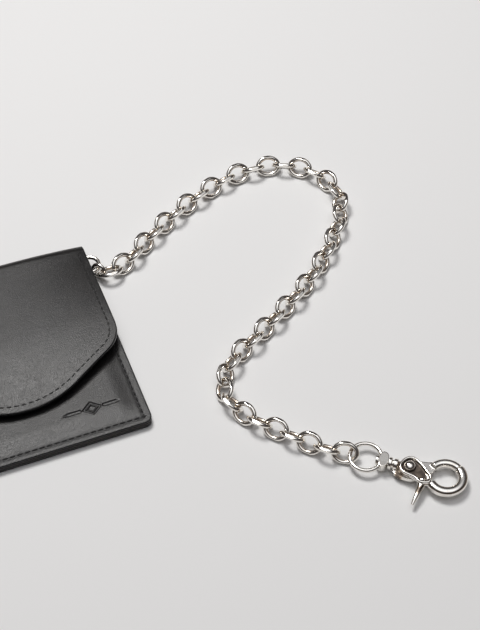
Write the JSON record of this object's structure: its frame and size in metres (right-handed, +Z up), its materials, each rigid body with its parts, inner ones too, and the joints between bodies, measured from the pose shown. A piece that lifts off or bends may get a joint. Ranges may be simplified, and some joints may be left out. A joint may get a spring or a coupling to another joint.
{
  "type": "chain wallet",
  "caption": "Flap wallet in black leather with a fold-over flap, front pocket, oval-link steel chain and trigger clasp.",
  "frame": {"origin": "centre of the wallet's flat back face", "axes": "+Z up with the wallet lying on its back, +Y towards the fold, +X along its width towards the chain"},
  "size_m": [0.2203, 0.2012, 0.0113],
  "materials": {
    "black_leather": "fine grained, semi-matt",
    "inner_leather": "smooth, matt",
    "thread": "twisted waxed thread",
    "bright_steel": "polished",
    "spring_steel": "drawn wire"
  },
  "bodies": {
    "root": {"back_panel": "black_leather", "card_panel": "inner_leather", "front_panel": "black_leather", "body_stitches": "thread", "snap_stud": "bright_steel"},
    "flap": {"flap_leather": "black_leather", "flap_stitches": "thread", "snap_socket": "bright_steel"},
    "wallet_ring": {"wallet_ring": "bright_steel"},
    "jump_ring": {"jump_ring": "bright_steel"},
    "link_01": {"link_01": "bright_steel"},
    "link_02": {"link_02": "bright_steel"},
    "link_03": {"link_03": "bright_steel"},
    "link_04": {"link_04": "bright_steel"},
    "link_05": {"link_05": "bright_steel"},
    "link_06": {"link_06": "bright_steel"},
    "link_07": {"link_07": "bright_steel"},
    "link_08": {"link_08": "bright_steel"},
    "link_09": {"link_09": "bright_steel"},
    "link_10": {"link_10": "bright_steel"},
    "link_11": {"link_11": "bright_steel"},
    "link_12": {"link_12": "bright_steel"},
    "link_13": {"link_13": "bright_steel"},
    "link_14": {"link_14": "bright_steel"},
    "link_15": {"link_15": "bright_steel"},
    "link_16": {"link_16": "bright_steel"},
    "link_17": {"link_17": "bright_steel"},
    "link_18": {"link_18": "bright_steel"},
    "link_19": {"link_19": "bright_steel"},
    "link_20": {"link_20": "bright_steel"},
    "link_21": {"link_21": "bright_steel"},
    "link_22": {"link_22": "bright_steel"},
    "link_23": {"link_23": "bright_steel"},
    "link_24": {"link_24": "bright_steel"},
    "link_25": {"link_25": "bright_steel"},
    "link_26": {"link_26": "bright_steel"},
    "link_27": {"link_27": "bright_steel"},
    "link_28": {"link_28": "bright_steel"},
    "link_29": {"link_29": "bright_steel"},
    "link_30": {"link_30": "bright_steel"},
    "link_31": {"link_31": "bright_steel"},
    "link_32": {"link_32": "bright_steel"},
    "link_33": {"link_33": "bright_steel"},
    "link_34": {"link_34": "bright_steel"},
    "link_35": {"link_35": "bright_steel"},
    "link_36": {"link_36": "bright_steel"},
    "link_37": {"link_37": "bright_steel"},
    "link_38": {"link_38": "bright_steel"},
    "link_39": {"link_39": "bright_steel"},
    "link_40": {"link_40": "bright_steel"},
    "link_41": {"link_41": "bright_steel"},
    "link_42": {"link_42": "bright_steel"},
    "link_43": {"link_43": "bright_steel"},
    "link_44": {"link_44": "bright_steel"},
    "swivel_loop": {"swivel_loop": "bright_steel"},
    "clasp": {"swivel_pin": "bright_steel", "clasp_body": "bright_steel", "clasp_rivet": "bright_steel", "clasp_spring": "spring_steel"},
    "clasp_trigger": {"clasp_trigger": "bright_steel"}
  },
  "joints": [
    {"name": "flap_fold", "type": "hinge", "parent": "root", "child": "flap", "pos_m": [0, 0.0505, 0.0052], "axis": [-1, 0, 0], "range_deg": [0, 170]},
    {"name": "ring_swing", "type": "hinge", "parent": "root", "child": "wallet_ring", "pos_m": [0.04305, 0.0393, 0.00495], "axis": [0, -1, 0], "range_deg": [-10, 10]},
    {"name": "jump_ring_swing", "type": "hinge", "parent": "wallet_ring", "child": "jump_ring", "pos_m": [0.0503, 0.03584, 0.00495], "axis": [0.7771, 0.6293, 0], "range_deg": [-25, 25]},
    {"name": "link_01_turn", "type": "hinge", "parent": "jump_ring", "child": "link_01", "pos_m": [0.05292, 0.0326, 0.00383], "axis": [0.1349, 0.1093, 0.9848], "range_deg": [-15, 10]},
    {"name": "link_02_turn", "type": "hinge", "parent": "link_01", "child": "link_02", "pos_m": [0.06055, 0.03342, 0.00383], "axis": [0.0311, -0.8905, 0.454], "range_deg": [-20, 20]},
    {"name": "link_03_turn", "type": "hinge", "parent": "link_02", "child": "link_03", "pos_m": [0.06682, 0.03705, 0.00383], "axis": [0.2418, -0.6645, -0.7071], "range_deg": [-35, 35]},
    {"name": "link_04_turn", "type": "hinge", "parent": "link_03", "child": "link_04", "pos_m": [0.07268, 0.04209, 0.00383], "axis": [-0.4353, 0.5572, -0.7071], "range_deg": [-35, 35]},
    {"name": "link_05_turn", "type": "hinge", "parent": "link_04", "child": "link_05", "pos_m": [0.07894, 0.04651, 0.00383], "axis": [-0.4116, 0.5749, 0.7071], "range_deg": [-35, 35]},
    {"name": "link_06_turn", "type": "hinge", "parent": "link_05", "child": "link_06", "pos_m": [0.08538, 0.05066, 0.00383], "axis": [0.3872, -0.5917, 0.7071], "range_deg": [-35, 35]},
    {"name": "link_07_turn", "type": "hinge", "parent": "link_06", "child": "link_07", "pos_m": [0.09198, 0.05454, 0.00383], "axis": [0.3621, -0.6074, -0.7071], "range_deg": [-35, 35]},
    {"name": "link_08_turn", "type": "hinge", "parent": "link_07", "child": "link_08", "pos_m": [0.09875, 0.05815, 0.00383], "axis": [-0.3363, 0.622, -0.7071], "range_deg": [-35, 35]},
    {"name": "link_09_turn", "type": "hinge", "parent": "link_08", "child": "link_09", "pos_m": [0.10565, 0.06146, 0.00383], "axis": [-0.31, 0.6355, 0.7071], "range_deg": [-35, 35]},
    {"name": "link_10_turn", "type": "hinge", "parent": "link_09", "child": "link_10", "pos_m": [0.11275, 0.06435, 0.00383], "axis": [0.2725, -0.6525, 0.7071], "range_deg": [-35, 35]},
    {"name": "link_11_turn", "type": "hinge", "parent": "link_10", "child": "link_11", "pos_m": [0.12, 0.06682, 0.00383], "axis": [0.2341, -0.6672, -0.7071], "range_deg": [-35, 35]},
    {"name": "link_12_turn", "type": "hinge", "parent": "link_11", "child": "link_12", "pos_m": [0.12739, 0.06887, 0.00383], "axis": [-0.1949, 0.6797, -0.7071], "range_deg": [-35, 35]},
    {"name": "link_13_turn", "type": "hinge", "parent": "link_12", "child": "link_13", "pos_m": [0.13502, 0.06967, 0.00383], "axis": [-0.0903, 0.7013, 0.7071], "range_deg": [-35, 35]},
    {"name": "link_14_turn", "type": "hinge", "parent": "link_13", "child": "link_14", "pos_m": [0.14269, 0.06932, 0.00383], "axis": [-0.0165, -0.7069, 0.7071], "range_deg": [-35, 35]},
    {"name": "link_15_turn", "type": "hinge", "parent": "link_14", "child": "link_15", "pos_m": [0.15021, 0.06781, 0.00383], "axis": [-0.1228, -0.6964, -0.7071], "range_deg": [-35, 35]},
    {"name": "link_16_turn", "type": "hinge", "parent": "link_15", "child": "link_16", "pos_m": [0.15706, 0.06428, 0.00383], "axis": [0.2988, 0.6409, -0.7071], "range_deg": [-35, 35]},
    {"name": "link_17_turn", "type": "hinge", "parent": "link_16", "child": "link_17", "pos_m": [0.16277, 0.0591, 0.00383], "axis": [0.4545, 0.5417, 0.7071], "range_deg": [-20, 20]},
    {"name": "link_18_turn", "type": "hinge", "parent": "link_17", "child": "link_18", "pos_m": [0.167, 0.05266, 0.00383], "axis": [-0.5757, -0.4106, 0.7071], "range_deg": [-20, 20]},
    {"name": "link_19_turn", "type": "hinge", "parent": "link_18", "child": "link_19", "pos_m": [0.16948, 0.04537, 0.00383], "axis": [-0.6601, -0.2534, -0.7071], "range_deg": [-20, 20]},
    {"name": "link_20_turn", "type": "hinge", "parent": "link_19", "child": "link_20", "pos_m": [0.1693, 0.03764, 0.00383], "axis": [0.7069, 0.0185, -0.7071], "range_deg": [-35, 35]},
    {"name": "link_21_turn", "type": "hinge", "parent": "link_20", "child": "link_21", "pos_m": [0.16654, 0.03041, 0.00383], "axis": [0.6725, -0.2185, 0.7071], "range_deg": [-35, 35]},
    {"name": "link_22_turn", "type": "hinge", "parent": "link_21", "child": "link_22", "pos_m": [0.16275, 0.02373, 0.00383], "axis": [-0.6243, 0.332, 0.7071], "range_deg": [-35, 35]},
    {"name": "link_23_turn", "type": "hinge", "parent": "link_22", "child": "link_23", "pos_m": [0.15787, 0.0178, 0.00383], "axis": [-0.5572, 0.4353, -0.7071], "range_deg": [-35, 35]},
    {"name": "link_24_turn", "type": "hinge", "parent": "link_23", "child": "link_24", "pos_m": [0.15285, 0.01201, 0.00383], "axis": [0.5377, -0.4592, -0.7071], "range_deg": [-35, 35]},
    {"name": "link_25_turn", "type": "hinge", "parent": "link_24", "child": "link_25", "pos_m": [0.14759, 0.00644, 0.00383], "axis": [0.5171, -0.4822, 0.7071], "range_deg": [-35, 35]},
    {"name": "link_26_turn", "type": "hinge", "parent": "link_25", "child": "link_26", "pos_m": [0.14198, 0.00122, 0.00383], "axis": [-0.4867, 0.5129, 0.7071], "range_deg": [-35, 35]},
    {"name": "link_27_turn", "type": "hinge", "parent": "link_26", "child": "link_27", "pos_m": [0.13607, -0.00365, 0.00383], "axis": [-0.4545, 0.5417, -0.7071], "range_deg": [-35, 35]},
    {"name": "link_28_turn", "type": "hinge", "parent": "link_27", "child": "link_28", "pos_m": [0.12987, -0.00815, 0.00383], "axis": [0.4206, -0.5684, -0.7071], "range_deg": [-35, 35]},
    {"name": "link_29_turn", "type": "hinge", "parent": "link_28", "child": "link_29", "pos_m": [0.1234, -0.01226, 0.00383], "axis": [0.3851, -0.593, 0.7071], "range_deg": [-35, 35]},
    {"name": "link_30_turn", "type": "hinge", "parent": "link_29", "child": "link_30", "pos_m": [0.11691, -0.01633, 0.00383], "axis": [-0.3768, 0.5983, 0.7071], "range_deg": [-35, 35]},
    {"name": "link_31_turn", "type": "hinge", "parent": "link_30", "child": "link_31", "pos_m": [0.11036, -0.02031, 0.00383], "axis": [-0.3684, 0.6036, -0.7071], "range_deg": [-35, 35]},
    {"name": "link_32_turn", "type": "hinge", "parent": "link_31", "child": "link_32", "pos_m": [0.10376, -0.0242, 0.00383], "axis": [0.3599, -0.6086, -0.7071], "range_deg": [-35, 35]},
    {"name": "link_33_turn", "type": "hinge", "parent": "link_32", "child": "link_33", "pos_m": [0.0971, -0.02799, 0.00383], "axis": [0.3514, -0.6136, 0.7071], "range_deg": [-35, 35]},
    {"name": "link_34_turn", "type": "hinge", "parent": "link_33", "child": "link_34", "pos_m": [0.0904, -0.03169, 0.00383], "axis": [-0.3428, 0.6184, 0.7071], "range_deg": [-35, 35]},
    {"name": "link_35_turn", "type": "hinge", "parent": "link_34", "child": "link_35", "pos_m": [0.08481, -0.03697, 0.00383], "axis": [-0.4685, 0.5296, -0.7071], "range_deg": [-35, 35]},
    {"name": "link_36_turn", "type": "hinge", "parent": "link_35", "child": "link_36", "pos_m": [0.08049, -0.04334, 0.00383], "axis": [0.5721, -0.4156, -0.7071], "range_deg": [-35, 35]},
    {"name": "link_37_turn", "type": "hinge", "parent": "link_36", "child": "link_37", "pos_m": [0.07972, -0.0511, 0.00383], "axis": [0.6974, -0.1167, 0.7071], "range_deg": [-35, 35]},
    {"name": "link_38_turn", "type": "hinge", "parent": "link_37", "child": "link_38", "pos_m": [0.0825, -0.05839, 0.00383], "axis": [-0.6762, -0.2067, 0.7071], "range_deg": [-35, 35]},
    {"name": "link_39_turn", "type": "hinge", "parent": "link_38", "child": "link_39", "pos_m": [0.08644, -0.06499, 0.00383], "axis": [-0.6184, -0.3428, -0.7071], "range_deg": [-35, 35]},
    {"name": "link_40_turn", "type": "hinge", "parent": "link_39", "child": "link_40", "pos_m": [0.09166, -0.07064, 0.00383], "axis": [0.5337, 0.4639, -0.7071], "range_deg": [-35, 35]},
    {"name": "link_41_turn", "type": "hinge", "parent": "link_40", "child": "link_41", "pos_m": [0.09677, -0.07635, 0.00383], "axis": [0.5282, 0.4701, 0.7071], "range_deg": [-35, 35]},
    {"name": "link_42_turn", "type": "hinge", "parent": "link_41", "child": "link_42", "pos_m": [0.10193, -0.082, 0.00383], "axis": [-0.5227, -0.4762, 0.7071], "range_deg": [-35, 35]},
    {"name": "link_43_turn", "type": "hinge", "parent": "link_42", "child": "link_43", "pos_m": [0.10717, -0.0876, 0.00383], "axis": [-0.5171, -0.4822, -0.7071], "range_deg": [-35, 35]},
    {"name": "link_44_turn", "type": "hinge", "parent": "link_43", "child": "link_44", "pos_m": [0.11318, -0.09236, 0.00383], "axis": [0.4498, 0.5456, -0.7071], "range_deg": [-35, 35]},
    {"name": "swivel_loop_turn", "type": "hinge", "parent": "link_44", "child": "swivel_loop", "pos_m": [0.11863, -0.0954, 0.00381], "axis": [0.3747, 0.5997, 0.7071], "range_deg": [-25, 25]},
    {"name": "clasp_swivel", "type": "hinge", "parent": "swivel_loop", "child": "clasp", "pos_m": [0.11977, -0.09629, 0.0038], "axis": [0.788, -0.6157, 0], "continuous": true},
    {"name": "trigger_press", "type": "hinge", "parent": "clasp", "child": "clasp_trigger", "pos_m": [0.13719, -0.1099, 0.0038], "axis": [0, 0, -1], "range_deg": [0, 25], "stiffness_Nm_per_rad": 0.02, "springref_deg": -11.46}
  ]
}
